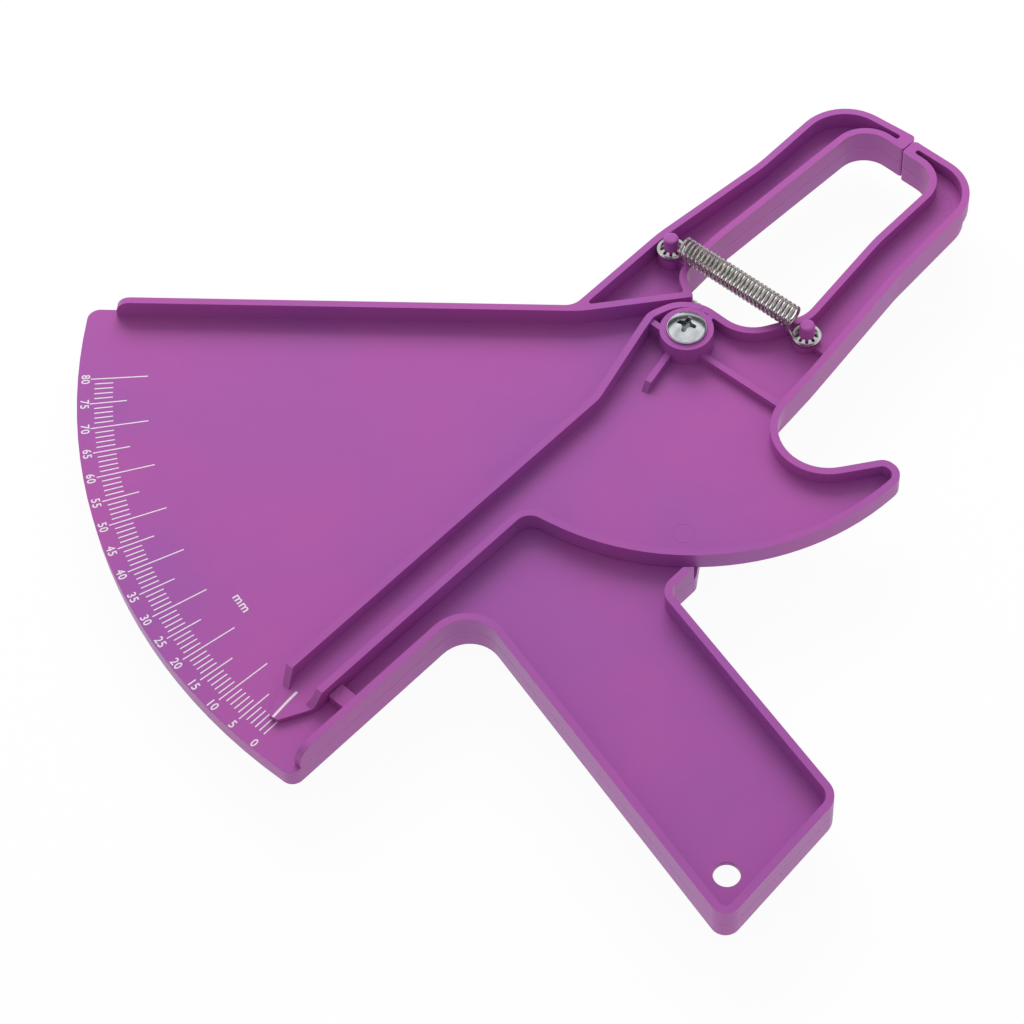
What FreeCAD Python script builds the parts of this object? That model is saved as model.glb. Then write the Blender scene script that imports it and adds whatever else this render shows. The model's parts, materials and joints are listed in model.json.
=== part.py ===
import FreeCAD, Part
import math
import os

# Skinfold caliper: a scale frame and a jaw arm that turn on one screw, pulled shut by two springs.
# The shape is drawn about the pivot axis (Z), with the jaws toward +X, the handle toward -Y and
# z = 0 on the printed face. The finished parts are moved to the middle of their box, on the floor.
# An outline is a list of corners (x, y, radius): the corners of straight edges, each then rounded.

V = FreeCAD.Vector
UP = V(0, 0, 1)

# ---- mouldings ----
RIM = 6.35                 # the rims stand this far above and below the printed face
WALL = 2.3                 # thickness of every rim
RIB = 2.0                  # thickness of the inner ribs
INNER_CORNER = 0.8         # least rounding of a pocket's corner
FRAME_WEB = 1.8            # thickness of the frame's plate, below the printed face
ARM_GAP = 0.25             # running gap between the frame's plate and the arm
ARM_WEB = 1.5              # thickness of the arm's plate
FRAME_TIP_WALL = 4.1       # thickness of the jaw tips, behind their faces
ARM_TIP_WALL = 3.1
JAW_GAP = 0.4              # between the closed jaw faces
JAW_FACE_Y = -1.6          # the frame's jaw face
CLEARANCE = 0.5            # between the arm's back half and the frame, over the whole travel

# ---- scale frame ----
FAN_RADIUS = 186.0         # round edge of the scale fan, about the pivot
FAN_CORNER = 3.8           # rounding of that edge's two ends
FAN_RIM_END = FAN_RADIUS - 9.2        # radius at which the fan's upper front rim ends
LOWER_RIM_END = -(FAN_RADIUS - 4.7)   # x of the left end of the fan's lower front rim
END_ROUND = 5.0            # rounding of those two ends, seen from the side
LOWER_EDGE_Y = -19.1       # outer edge of the fan's lower side
PIVOT_ROUND = 13.0         # radius of the frame's end round the pivot
RIB_END = (12.2, 8.1)      # the inner rib's lower edge, from the jaw ...
RIB_BEND = (-14.9, 30.3)   # ... to the bend where it becomes the fan's upper rim
RIB_BEND_RADIUS = 30.0
TRIGGER_GAP = 4.2          # the frame's front half stays this far off the trigger's round edge
FRAME_PEG_RIB = (18.0, 32.0)   # y between which the ribs that brace the frame's pegs run
HANG_HOLE_AT = (-127.1, -128.0)
HANG_HOLE_RADIUS = 3.8
STOP_FROM = -(FAN_RADIUS - 25.2)      # block on the fan's lower rim that the pointer arm closes against
STOP_LENGTH = 5.2
STOP_TOP = 3.2
STOP_GAP = 0.3

# ---- jaw arm ----
ARM_TOP_Y = 5.3            # outer edges of the pointer arm
ARM_LOW_Y = -9.2
POINTER_REACH = FAN_RADIUS - 10.0     # from the pivot to the pointer's tip
RAMP_FROM = -(FAN_RADIUS - 23.4)      # x from which the arm's rims ramp down to the pointer ...
RAMP_LENGTH = 4.0                     # ... and over what length
HUB_ARC = 12.2             # outer edge of the arm's rim round the boss
HUB_RIM = 8.0              # top of that rim, which rises toward the boss
HUB_RISE = (-33.0, -8.0, 0.0, 11.0)   # x where it starts to rise, is up, starts to fall, is down
TRIGGER_CENTRE = (1.2, -1.6)          # the trigger's round edge
TRIGGER_RADIUS = 80.8
TRIGGER_TIP_TOP = -(TRIGGER_RADIUS - 6.2)   # y of the upper corner of the trigger's end
LOW_RIB_TOP = 4.4          # top of the low ribs of the trigger
LOW_RIB = ((-1.75, -2.0), (-0.6, -38.5))    # ends of the long one ...
STUB_RIB = ((-3.0, 1.2), (-22.4, -3.0))     # ... and of the short one
STUB_SLOPE = 2.4           # length of the short one's sloping end
HUB_RIB_X = -3.8           # rib between the boss and the rim above it
ARM_PEG_RIB = (-36.5, -24.0)   # y between which the rib that braces the arm's front peg runs
BACK_WALL = 1.7            # thickness of the rim of the arm's back half
BACK_EDGE_STEP = 1.1       # the arm's back half lies this far inside the jaw's outer edge
OPENING_ANGLE = 45.7       # full travel of the arm in degrees: 80 mm between the jaws

# ---- pivot ----
BOSS_RADIUS = 8.2
BOSS_TOP = 8.8
POST_RADIUS = 4.0          # the frame's post, inside the arm's boss
PIVOT_CLEARANCE = 0.06     # radial running clearance of the arm on the post
HEAD_PLAY = 0.1            # axial play of the arm under the screw head
HEAD_RADIUS = 6.2
HEAD_RIM = 0.75            # height of the screw head at its edge
HEAD_DOME = 1.7            # and how much higher its middle is
HEAD_RINGS = (1.0, 0.8, 0.55, 0.3)   # where the dome's flats meet, as shares of the head's radius
SHANK_RADIUS = 1.75
SHANK_LENGTH = 11.0
RECESS_LENGTH = 5.0        # cross recess, end to end
RECESS_WIDTH = 1.3
RECESS_DEPTH = 1.7
RECESS_ANGLE = 20.0

# ---- springs, pegs and washers ----
FRONT_PEGS = ((22.3, 26.3), (23.8, -27.2))   # on the frame and on the arm
BACK_PEGS = ((17.0, 25.2), (18.6, -28.2))
PEG_RADIUS = 2.4
PEG_EDGE = 0.9             # rounding of a peg's end
FRONT_PEG_TOP = 11.0
BACK_PEG_TOP = 14.6        # taller, so that the back spring stays off a table
SHOULDER_RADIUS = 4.2      # post that the spring's hook lies on
SHOULDER_TOP = 4.35        # and its height
PEG_RIB_TOP = 3.9          # top of the ribs that brace it
WIRE_RADIUS = 0.5
HOOK_PLAY = 0.1            # between the hook and its peg, its shoulder and the washer
HOOK_DROP = 2.0            # from the coil's lowest turn down to the hook
GROOVE_FROM = -2.1         # the hook's groove in the arm's rim: x of its left side from the peg ...
GROOVE_WIDTH = 3.0         # ... and its width
GROOVE_LENGTH = 6.0
COIL_RADIUS = 3.25         # of the wire's centre line
COIL_PITCH = 1.5
COIL_PLAY = 0.15           # between the coil's ends and the washers
WIRE_SIDES = 6             # the hooks' wire is drawn with this many flats ...
COIL_SIDES = 12            # ... and the coil with this many
HOOK_WRAP = 250.0          # degrees that a hook goes round its peg
HOOK_JOIN = 0.1            # between the coil's end and the far hook, which slides with the arm
WASHER_RADIUS = 4.4
WASHER_THICKNESS = 0.5
WASHER_TEETH = 9
TOOTH_SLOT_LENGTH = 1.1
TOOTH_SLOT_WIDTH = 0.8


# ---- helpers for outlines ----
def meet(a, b, c, d):
    """Point where the line through a and b meets the line through c and d."""
    abx, aby = b[0] - a[0], b[1] - a[1]
    cdx, cdy = d[0] - c[0], d[1] - c[1]
    t = ((c[0] - a[0]) * cdy - (c[1] - a[1]) * cdx) / (abx * cdy - aby * cdx)
    return (a[0] + t * abx, a[1] + t * aby)


def polar(centre, radius, degrees):
    angle = math.radians(degrees)
    return (centre[0] + radius * math.cos(angle), centre[1] + radius * math.sin(angle))


def arc_corners(centre, radius, start, end, count):
    """A long arc as corners that are rounded with its own radius."""
    half = (end - start) / count / 2
    reach = radius / math.cos(math.radians(half))
    return [polar(centre, reach, start + half * (2 * i + 1)) + (radius,) for i in range(count)]


def tangent(centre, radius, degrees):
    """Two points on the line that touches the circle in that direction."""
    touch = polar(centre, radius, degrees)
    return touch, polar(touch, 1.0, degrees + 90)


def is_left_turn(a, b, c):
    return (b[0] - a[0]) * (c[1] - b[1]) - (b[1] - a[1]) * (c[0] - b[0]) > 0


def outline_sign(corners):
    """1 for a counter-clockwise outline, -1 for a clockwise one."""
    area = sum(p[0] * q[1] - q[0] * p[1] for p, q in zip(corners, corners[1:] + corners[:1]))
    return 1 if area > 0 else -1


def inset(corners, distance):
    """The outline with each edge moved inward; distance is one value or one per edge."""
    count = len(corners)
    steps = distance if isinstance(distance, list) else [distance] * count
    sign = outline_sign(corners)
    edges = []
    for i in range(count):
        p, q = corners[i], corners[(i + 1) % count]
        length = math.hypot(q[0] - p[0], q[1] - p[1])
        nx = -(q[1] - p[1]) / length * steps[i] * sign
        ny = (q[0] - p[0]) / length * steps[i] * sign
        edges.append(((p[0] + nx, p[1] + ny), (q[0] + nx, q[1] + ny)))
    result = []
    for i in range(count):
        x, y = meet(*edges[i - 1], *edges[i])
        step = (steps[i - 1] + steps[i]) / 2
        convex = is_left_turn(corners[i - 1], corners[i], corners[(i + 1) % count]) == (sign > 0)
        radius = corners[i][2]
        if radius > 0 and convex:
            radius = max(radius - step, INNER_CORNER)
        elif radius > 0:
            radius = radius + step
        result.append((x, y, radius))
    return result


def outline_wire(corners, z):
    """Closed wire through the corners, each rounded by an arc."""
    count = len(corners)
    arcs = []
    for i in range(count):
        corner = V(corners[i][0], corners[i][1], z)
        before = V(corners[i - 1][0], corners[i - 1][1], z) - corner
        after = V(corners[(i + 1) % count][0], corners[(i + 1) % count][1], z) - corner
        radius = corners[i][2]
        if radius == 0:
            arcs.append((corner, None, corner))
            continue
        half = before.getAngle(after) / 2
        before.normalize()
        after.normalize()
        reach = radius / math.tan(half)
        bisector = (before + after).normalize()
        middle = corner + bisector * (radius / math.sin(half) - radius)
        arcs.append((corner + before * reach, middle, corner + after * reach))
    edges = []
    for i in range(count):
        start, middle, end = arcs[i]
        following = arcs[(i + 1) % count][0]
        if middle:
            edges.append(Part.Arc(start, middle, end).toShape())
        if end.distanceToPoint(following) > 1e-6:
            edges.append(Part.makeLine(end, following))
    return Part.Wire(edges)


def slab(corners, bottom, top):
    """Plate of the outline between two heights."""
    return Part.Face(outline_wire(corners, bottom)).extrude(V(0, 0, top - bottom))


def cylinder(x, y, radius, bottom, top):
    return Part.makeCylinder(radius, top - bottom, V(x, y, bottom))


def bar(a, b, width, bottom, top):
    """Straight rib of the given width from a to b, with square ends."""
    length = math.hypot(b[0] - a[0], b[1] - a[1])
    box = Part.makeBox(length, width, top - bottom, V(0, -width / 2, bottom))
    box.rotate(V(0, 0, 0), UP, math.degrees(math.atan2(b[1] - a[1], b[0] - a[0])))
    return box.translate(V(a[0], a[1], 0))


def peg(at, root, top, side):
    """Shoulder post and spring peg from the height root; side is 1 for the front, -1 for the back."""
    edge = PEG_EDGE * (1 - math.cos(math.pi / 4))
    profile = [
        (0, root), (SHOULDER_RADIUS, root), (SHOULDER_RADIUS, side * SHOULDER_TOP),
        (PEG_RADIUS, side * SHOULDER_TOP), (PEG_RADIUS, side * (top - PEG_EDGE)),
        (PEG_RADIUS - edge, side * (top - edge)), (PEG_RADIUS - PEG_EDGE, side * top), (0, side * top),
    ]
    points = [V(at[0] + r, at[1], z) for r, z in profile]
    return Part.Face(Part.makePolygon(points + points[:1])).revolve(V(at[0], at[1], 0), UP, 360)


def walls_of(corners, wall, face, face_wall):
    """Wall thickness of each edge: wall, or face_wall on the edge that starts at the corner face."""
    return [face_wall if corner == face else wall for corner in corners]


# ---- scale frame ----
JAW_FACE = (100.2, JAW_FACE_Y, 1.0)   # corner at which the edge that is the jaw face starts
JAW_CORNERS = [
    (17.3, 16.2, 6.0), (34.0, 17.3, 60.0), (100.4, 14.5, 9.5), JAW_FACE,
    (107.1, JAW_FACE_Y, 1.6), (104.6, 29.2, 16.5), (66.0, 28.8, 60.0), (24.0, 33.2, 60.0),
]
FAN_FOOT = (-14.3, 33.2)   # where the fan's upper side meets the jaw ...
FAN_FOOT_RADIUS = 6.0
FAN_SLOPE = 130.04         # ... and the direction in which it runs
HANDLE_CORNERS = [
    (-112.9, LOWER_EDGE_Y, 10.0), (-140.9, -139.4, 4.5), (-91.3, -137.2, 6.5), (-72.6, -58.2, 3.6),
]
HOOK_CORNERS = [           # end of the handle's upper edge, beside and under the trigger
    (-61.0, -58.2, 3.0), (-53.0, -52.8, 3.0),
]
UNDER_ARM = (-48.0, -26.0) # corner of the frame's edge that lies under the arm


def distance_beside(a, b):
    """Distance from the pivot to the line through a and b, which are 1 apart."""
    return a[0] * (b[1] - a[1]) - a[1] * (b[0] - a[0])


def fan_directions():
    """Directions in degrees between which the fan's round edge runs, clear of its rounded ends."""
    beside = distance_beside(FAN_FOOT, polar(FAN_FOOT, 1.0, FAN_SLOPE))
    upper = FAN_SLOPE - math.degrees(math.asin(beside / FAN_RADIUS) - 1.15 * FAN_CORNER / FAN_RADIUS)
    lower = 180 + math.degrees(math.asin((-LOWER_EDGE_Y - FAN_CORNER) / FAN_RADIUS))
    return upper, lower


def frame_outline():
    """Outer edge of the frame, counter-clockwise from the fan's lower corner."""
    fan_line = FAN_FOOT, polar(FAN_FOOT, 1.0, FAN_SLOPE)
    fan_from, fan_to = fan_directions()
    upper = meet(*fan_line, *tangent((0, 0), FAN_RADIUS, fan_from))
    lower = meet((0, LOWER_EDGE_Y), (1, LOWER_EDGE_Y), *tangent((0, 0), FAN_RADIUS, fan_to))
    round_start = meet(UNDER_ARM, polar(UNDER_ARM, 1.0, under_slope()), (PIVOT_ROUND, 0), (PIVOT_ROUND, 1))
    under = HOOK_CORNERS + [
        UNDER_ARM + (6.0,), round_start + (PIVOT_ROUND,), (PIVOT_ROUND, 9.0, 3.0),
    ]
    return ([lower + (FAN_CORNER,)] + HANDLE_CORNERS + under + JAW_CORNERS
            + [FAN_FOOT + (FAN_FOOT_RADIUS,), upper + (FAN_CORNER,)]
            + arc_corners((0, 0), FAN_RADIUS, fan_from, fan_to, 3))


def under_slope():
    """Direction of the frame's edge under the arm, which runs tangent to the pivot's round end."""
    reach = math.hypot(*UNDER_ARM)
    return math.degrees(math.atan2(-UNDER_ARM[1], -UNDER_ARM[0]) - math.asin(PIVOT_ROUND / reach))


def fan_rim_inner():
    """Two points on the inner side of the fan's upper rim."""
    start = polar(FAN_FOOT, WALL, FAN_SLOPE + 90)
    return start, polar(start, 1.0, FAN_SLOPE)


def fan_rim_end():
    """Inner edge of the fan's upper front rim at its end."""
    beside = distance_beside(*fan_rim_inner())
    foot = polar((0, 0), beside, FAN_SLOPE - 90)
    return polar(foot, math.sqrt(FAN_RIM_END ** 2 - beside ** 2), FAN_SLOPE)


def front_field():
    """The open field in front of the fan, the handle and the arm, inside the frame's front rim."""
    edge_x = PIVOT_ROUND + 1.5
    beside = meet(JAW_CORNERS[0], RIB_END, (edge_x, 0), (edge_x, 1))
    bend = meet(RIB_END, RIB_BEND, *fan_rim_inner())
    end = fan_rim_end()
    outer = polar(end, 3 * WALL, FAN_SLOPE - 90)
    far_x, far_y = -FAN_RADIUS - 20, FAN_RADIUS
    walled = [(LOWER_RIM_END, LOWER_EDGE_Y, 0)] + HANDLE_CORNERS
    rest = [
        (edge_x, HANDLE_CORNERS[-1][1], 0), beside + (0,), RIB_END + (0.8,),
        bend + (RIB_BEND_RADIUS,), end + (0,), outer + (0,), (outer[0], far_y, 0), (far_x, far_y, 0),
        (far_x, LOWER_EDGE_Y - 20, 0), (LOWER_RIM_END, LOWER_EDGE_Y - 20, 0),
    ]
    return inset(walled + rest, [WALL] * len(walled) + [0] * len(rest))


def jaw_ring():
    """Outer edge of the frame's jaw and its inner rib, counter-clockwise."""
    left = meet(RIB_END, RIB_BEND, FAN_FOOT, (0, FAN_FOOT[1]))
    return [left + (INNER_CORNER + WALL,), RIB_END + (0.8,)] + JAW_CORNERS


def round_end(at, direction):
    """Cutter that rounds the front end of a rim, which ends at the point and runs in the direction."""
    low = RIM - END_ROUND
    cutter = Part.makeBox(END_ROUND + 1, 2 * WALL, END_ROUND + 1, V(-END_ROUND, -WALL, low))
    cutter = cutter.cut(Part.makeCylinder(END_ROUND, 2 * WALL, V(-END_ROUND, -WALL, low), V(0, 1, 0)))
    cutter.rotate(V(0, 0, 0), UP, direction)
    return cutter.translate(V(at[0], at[1], 0))


def make_frame():
    outline = frame_outline()
    body = slab(outline, -RIM, RIM)
    # front: the field of the fan, the handle and the arm, and the jaw's pocket
    body = body.cut(slab(front_field(), 0, RIM + 1))
    walls = walls_of(jaw_ring(), WALL, JAW_FACE, FRAME_TIP_WALL)
    body = body.cut(slab(inset(jaw_ring(), walls), 0, RIM + 1))
    sweep = TRIGGER_RADIUS + TRIGGER_GAP
    before_trigger = Part.makeBox(2 * sweep, sweep, 2 * RIM, V(-sweep, -sweep, 0))
    body = body.cut(cylinder(0, 0, sweep, 0, RIM + 1).common(before_trigger))
    body = body.cut(round_end(polar(fan_rim_end(), WALL / 2, FAN_SLOPE - 90), FAN_SLOPE))
    body = body.cut(round_end((LOWER_RIM_END, LOWER_EDGE_Y + WALL / 2), 180))
    # back: one pocket inside the rim, with the inner rib and the pivot's boss left standing
    pocket = slab(inset(outline, walls_of(outline, WALL, JAW_FACE, FRAME_TIP_WALL)), -RIM - 1, -FRAME_WEB)
    pocket = pocket.cut(bar(RIB_END, RIB_BEND, WALL, -RIM, -FRAME_WEB))
    body = body.cut(pocket.cut(cylinder(0, 0, BOSS_RADIUS, -RIM, -FRAME_WEB)))
    # stop block, pegs with their ribs, and the pivot post
    depth = ARM_LOW_Y - STOP_GAP - LOWER_EDGE_Y - WALL / 2
    stop = Part.makeBox(STOP_LENGTH, depth, STOP_TOP + FRAME_WEB,
                        V(STOP_FROM, LOWER_EDGE_Y + WALL / 2, -FRAME_WEB))
    front, back = FRONT_PEGS[0], BACK_PEGS[0]
    rib_from, rib_to = FRAME_PEG_RIB
    ribs = bar((front[0], rib_from), (front[0], rib_to), RIB, -FRAME_WEB, PEG_RIB_TOP)
    back_ribs = bar((back[0], rib_from), (back[0], rib_to), RIB, -PEG_RIB_TOP, 0)
    post = cylinder(0, 0, POST_RADIUS, -RIM, BOSS_TOP + HEAD_PLAY)
    body = body.fuse([
        stop, ribs, back_ribs, post,
        peg(front, -FRAME_WEB / 2, FRONT_PEG_TOP, 1), peg(back, -FRAME_WEB / 2, BACK_PEG_TOP, -1),
    ])
    body = body.cut(cylinder(0, 0, SHANK_RADIUS, BOSS_TOP + HEAD_PLAY - SHANK_LENGTH, BOSS_TOP + 1))
    body = body.cut(cylinder(*HANG_HOLE_AT, HANG_HOLE_RADIUS, -RIM, RIM))
    return body.removeSplitter()


# ---- jaw arm ----
ARM_FACE = (99.4, JAW_FACE_Y - JAW_GAP, 1.0)    # corners at which the edge that is the jaw face starts
ARM_TIP = (105.7, JAW_FACE_Y - JAW_GAP, 1.5)    # and ends
ARM_JAW_CORNERS = [
    (HUB_ARC, -12.4, 12.0), (29.0, -22.2, 10.0), (66.0, -18.3, 60.0), (99.4, -17.9, 9.5), ARM_FACE,
    ARM_TIP, (105.7, -31.3, 15.5), (60.0, -33.5, 60.0), (14.0, -38.9, 120.0),
]
NOTCH = (-39.3, -43.1, 14.6)
TRIGGER_TIP_X = 3.7
TRIGGER_FROM = -93.0       # directions between which the trigger's round edge runs
TRIGGER_TO = -168.9
ARM_BEND = (-36.0, ARM_TOP_Y)   # where the upper rim starts to slope up to the hub ...
ARM_BEND_SLOPE = 13.66          # ... and its slope
HUB_ARC_FROM = 75.0


def arm_outline():
    """Outer edge of the arm, clockwise from the pointer."""
    hub = meet(ARM_BEND, polar(ARM_BEND, 1.0, ARM_BEND_SLOPE), *tangent((0, 0), HUB_ARC, HUB_ARC_FROM))
    tip = meet((TRIGGER_TIP_X, 0), (TRIGGER_TIP_X, 1),
               *tangent(TRIGGER_CENTRE, TRIGGER_RADIUS, TRIGGER_FROM))
    heel = meet((0, ARM_LOW_Y), (1, ARM_LOW_Y), *tangent(TRIGGER_CENTRE, TRIGGER_RADIUS, TRIGGER_TO))
    return ([(-POINTER_REACH, -0.9, 0.6), (RAMP_FROM, ARM_TOP_Y, 3.0), ARM_BEND + (10.0,), hub + (5.0,)]
            + arc_corners((0, 0), HUB_ARC, HUB_ARC_FROM, 0, 1) + ARM_JAW_CORNERS
            + [NOTCH, (TRIGGER_TIP_X, TRIGGER_TIP_TOP, 4.4), tip + (5.0,)]
            + arc_corners(TRIGGER_CENTRE, TRIGGER_RADIUS, TRIGGER_FROM, TRIGGER_TO, 2)
            + [heel + (5.0,), (10.5 - POINTER_REACH, ARM_LOW_Y, 3.0), (0.6 - POINTER_REACH, -3.9, 0.6)])


def arm_back_outline():
    """Outer edge of the arm's back half, which has only the jaw: it ends on a line that just clears
    the frame's edge under the arm when the arm is fully open."""
    slope = under_slope() + OPENING_ANGLE
    closing = tangent((0, 0), PIVOT_ROUND + CLEARANCE, slope - 90)
    top = meet(*closing, (HUB_ARC, 0), (HUB_ARC, 1))
    low = meet(*closing, ARM_JAW_CORNERS[-1], NOTCH)
    corners = [top + (0.5,)] + ARM_JAW_CORNERS + [low + (2.5,)]
    outer = corners.index(ARM_TIP)
    steps = [0] * outer + [BACK_EDGE_STEP] * (len(ARM_JAW_CORNERS) + 1 - outer) + [0]
    return inset(corners, steps)


def rise(points, low_y, high_y):
    """Block between two depths in Y whose side view is the polygon of (x, z) points."""
    polygon = [V(x, low_y, z) for x, z in points]
    return Part.Face(Part.makePolygon(polygon + polygon[:1])).extrude(V(0, high_y - low_y, 0))


def stub_rib(a, b, top, slope_length):
    """Low rib from a to b whose top slopes down at the end."""
    length = math.hypot(b[0] - a[0], b[1] - a[1])
    points = [(0, ARM_GAP), (length, ARM_GAP), (length, ARM_GAP + ARM_WEB), (length - slope_length, top),
              (0, top)]
    rib = rise(points, -RIB / 2, RIB / 2)
    rib.rotate(V(0, 0, 0), UP, math.degrees(math.atan2(b[1] - a[1], b[0] - a[0])))
    return rib.translate(V(a[0], a[1], 0))


def make_arm():
    outline = arm_outline()
    floor = ARM_GAP + ARM_WEB
    hub_from, hub_up, hub_fall, hub_to = HUB_RISE
    body = slab(outline, ARM_GAP, RIM)
    # the rim rises toward the boss
    hub = rise([(hub_from, RIM), (hub_up, HUB_RIM), (hub_fall, HUB_RIM), (hub_to, RIM)], 3.0, 20.0)
    body = body.fuse(slab(outline, RIM, HUB_RIM).common(hub))
    # the tray, whose rims meet in one corner at the pointer
    apex = meet(outline[0], outline[1], outline[-1], outline[-2])
    tray = [apex + (0,)] + outline[1:-1]
    body = body.cut(slab(inset(tray, walls_of(tray, WALL, ARM_FACE, ARM_TIP_WALL)), floor, HUB_RIM + 1))
    ramp = [(RAMP_FROM, RIM), (RAMP_FROM - RAMP_LENGTH, floor), (-FAN_RADIUS, floor),
            (-FAN_RADIUS, RIM + 1), (RAMP_FROM, RIM + 1)]
    body = body.cut(rise(ramp, -20.0, 20.0))
    # back half of the jaw
    back = arm_back_outline()
    half = slab(back, -RIM, floor - ARM_WEB / 2)
    hollow = [meet(back[0], back[-1], back[1], back[2]) + (INNER_CORNER + BACK_WALL,)] + back[2:]
    walls = [BACK_WALL] * len(hollow)
    walls[ARM_JAW_CORNERS.index(ARM_FACE)] = ARM_TIP_WALL
    half = half.cut(slab(inset(hollow, walls), -RIM - 1, ARM_GAP))
    body = body.fuse(half)
    # boss, ribs and pegs
    front, rear = FRONT_PEGS[1], BACK_PEGS[1]
    web = ARM_GAP + ARM_WEB / 2
    body = body.fuse([
        cylinder(0, 0, BOSS_RADIUS, ARM_GAP, BOSS_TOP),
        bar((HUB_RIB_X, BOSS_RADIUS / 2), (HUB_RIB_X, HUB_ARC), RIB, ARM_GAP, HUB_RIM - 0.8),
        bar((BOSS_RADIUS / 2, -RIB / 2), (HUB_ARC - RIB / 4, -RIB / 2), RIB, ARM_GAP, RIM),
        bar(*LOW_RIB, RIB, ARM_GAP, LOW_RIB_TOP),
        stub_rib(*STUB_RIB, LOW_RIB_TOP, STUB_SLOPE),
        bar((front[0], ARM_PEG_RIB[0]), (front[0], ARM_PEG_RIB[1]), RIB, ARM_GAP, PEG_RIB_TOP),
        peg(front, web, FRONT_PEG_TOP, 1), peg(rear, web, BACK_PEG_TOP, -1),
    ])
    body = body.cut(Part.makeBox(GROOVE_WIDTH, GROOVE_LENGTH, RIM,
                                 V(front[0] + GROOVE_FROM, front[1] + SHOULDER_RADIUS, SHOULDER_TOP)))
    return body.cut(cylinder(0, 0, POST_RADIUS + PIVOT_CLEARANCE, 0, BOSS_TOP + 1)).removeSplitter()


# ---- pivot screw ----
def make_screw():
    seat = BOSS_TOP + HEAD_PLAY
    edge = seat + HEAD_RIM
    top = edge + HEAD_DOME
    outline = [(0, seat - SHANK_LENGTH), (SHANK_RADIUS, seat - SHANK_LENGTH), (SHANK_RADIUS, seat),
               (HEAD_RADIUS, seat)]
    for share in HEAD_RINGS:
        outline.append((HEAD_RADIUS * share, edge + HEAD_DOME * (1 - share ** 2)))
    points = [V(r, 0, z) for r, z in outline + [(0, top)]]
    screw = Part.Face(Part.makePolygon(points + points[:1])).revolve(V(0, 0, 0), UP, 360)
    half = RECESS_LENGTH / 2
    for direction in (RECESS_ANGLE, RECESS_ANGLE + 90):
        ends = polar((0, 0), half, direction), polar((0, 0), half, direction + 180)
        screw = screw.cut(bar(*ends, RECESS_WIDTH, top - RECESS_DEPTH, top + 1))
    return screw


# ---- springs and washers ----
def wire_section(radius):
    """Section of the wire at the given distance from the axis that it bends round."""
    turns = [2 * math.pi * (i + 0.5) / WIRE_SIDES for i in range(WIRE_SIDES)]
    points = [V(radius + WIRE_RADIUS * math.cos(t), 0, WIRE_RADIUS * math.sin(t)) for t in turns]
    return Part.Face(Part.makePolygon(points + points[:1]))


def wire_arc(centre, radius, start, end):
    """Piece of wire along an arc in the plane z = 0, from one direction to another."""
    piece = wire_section(radius).revolve(V(0, 0, 0), UP, abs(end - start))
    piece.rotate(V(0, 0, 0), UP, min(start, end))
    return piece.translate(V(centre[0], centre[1], 0))


def make_hook():
    """A spring's hook, about its peg at the origin: from the coil's end, which lies toward +X, down
    beside the washer and round the peg."""
    loop = PEG_RADIUS + HOOK_PLAY + WIRE_RADIUS
    bend_x = WASHER_RADIUS + COIL_PLAY + WIRE_RADIUS - loop
    run = wire_section(0).extrude(V(0, bend_x, 0))
    run.rotate(V(0, 0, 0), UP, -90)
    run.translate(V(0, -loop, 0))
    bend = wire_arc((bend_x, 0), loop, -90, 0)
    riser = wire_section(0).extrude(V(0, HOOK_DROP, 0))
    riser.rotate(V(0, 0, 0), V(1, 0, 0), 90)
    riser.translate(V(bend_x + loop, 0, 0))
    return bend.fuse([run, wire_arc((0, 0), loop, -90 - HOOK_WRAP, -90), riser]).removeSplitter()


def make_coil(chord):
    """The coil between the washers, along +X: its turns closed to a sleeve with a ridge for each,
    of flat faces, as few as show its shape."""
    start = WASHER_RADIUS + COIL_PLAY
    end = chord - start - 2 * WIRE_RADIUS - HOOK_JOIN
    turns = round((end - start) / COIL_PITCH)
    pitch = (end - start) / turns
    profile = []
    for i in range(turns):
        profile.append((start + i * pitch, COIL_RADIUS))
        profile.append((start + (i + 0.5) * pitch, COIL_RADIUS + WIRE_RADIUS))
    bore = COIL_RADIUS - WIRE_RADIUS
    profile += [(end, COIL_RADIUS), (end, bore), (start, bore)]
    axis = (0, HOOK_DROP + COIL_RADIUS)
    rings = []
    for x, radius in profile:
        corners = [polar(axis, radius, 360.0 / COIL_SIDES * k) for k in range(COIL_SIDES)]
        rings.append([V(x, y, z) for y, z in corners])
    faces = []
    for here, there in zip(rings, rings[1:] + rings[:1]):
        for k in range(COIL_SIDES):
            quad = [here[k - 1], here[k], there[k], there[k - 1]]
            faces.append(Part.Face(Part.makePolygon(quad + quad[:1])))
    return Part.Solid(Part.makeShell(faces))


def place_spring(shape, pegs, side):
    """Moves a spring's piece from its own axes (X from the frame's peg to the arm's) to the pegs."""
    (ax, ay), (bx, by) = pegs
    if side < 0:
        shape.rotate(V(0, 0, 0), V(1, 0, 0), 180)
    shape.translate(V(0, 0, side * (SHOULDER_TOP + HOOK_PLAY + WIRE_RADIUS)))
    shape.rotate(V(0, 0, 0), UP, math.degrees(math.atan2(by - ay, bx - ax)))
    return shape.translate(V(ax, ay, 0))


def make_spring(pegs, side):
    """The coil with the hook on the frame's peg, and the far hook, which is its other end."""
    chord = math.hypot(pegs[1][0] - pegs[0][0], pegs[1][1] - pegs[0][1])
    near = make_coil(chord).fuse(make_hook()).removeSplitter()
    far = make_hook().mirror(V(0, 0, 0), V(1, 0, 0))
    far.translate(V(chord, 0, 0))
    return place_spring(near, pegs, side), place_spring(far, pegs, side)


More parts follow.
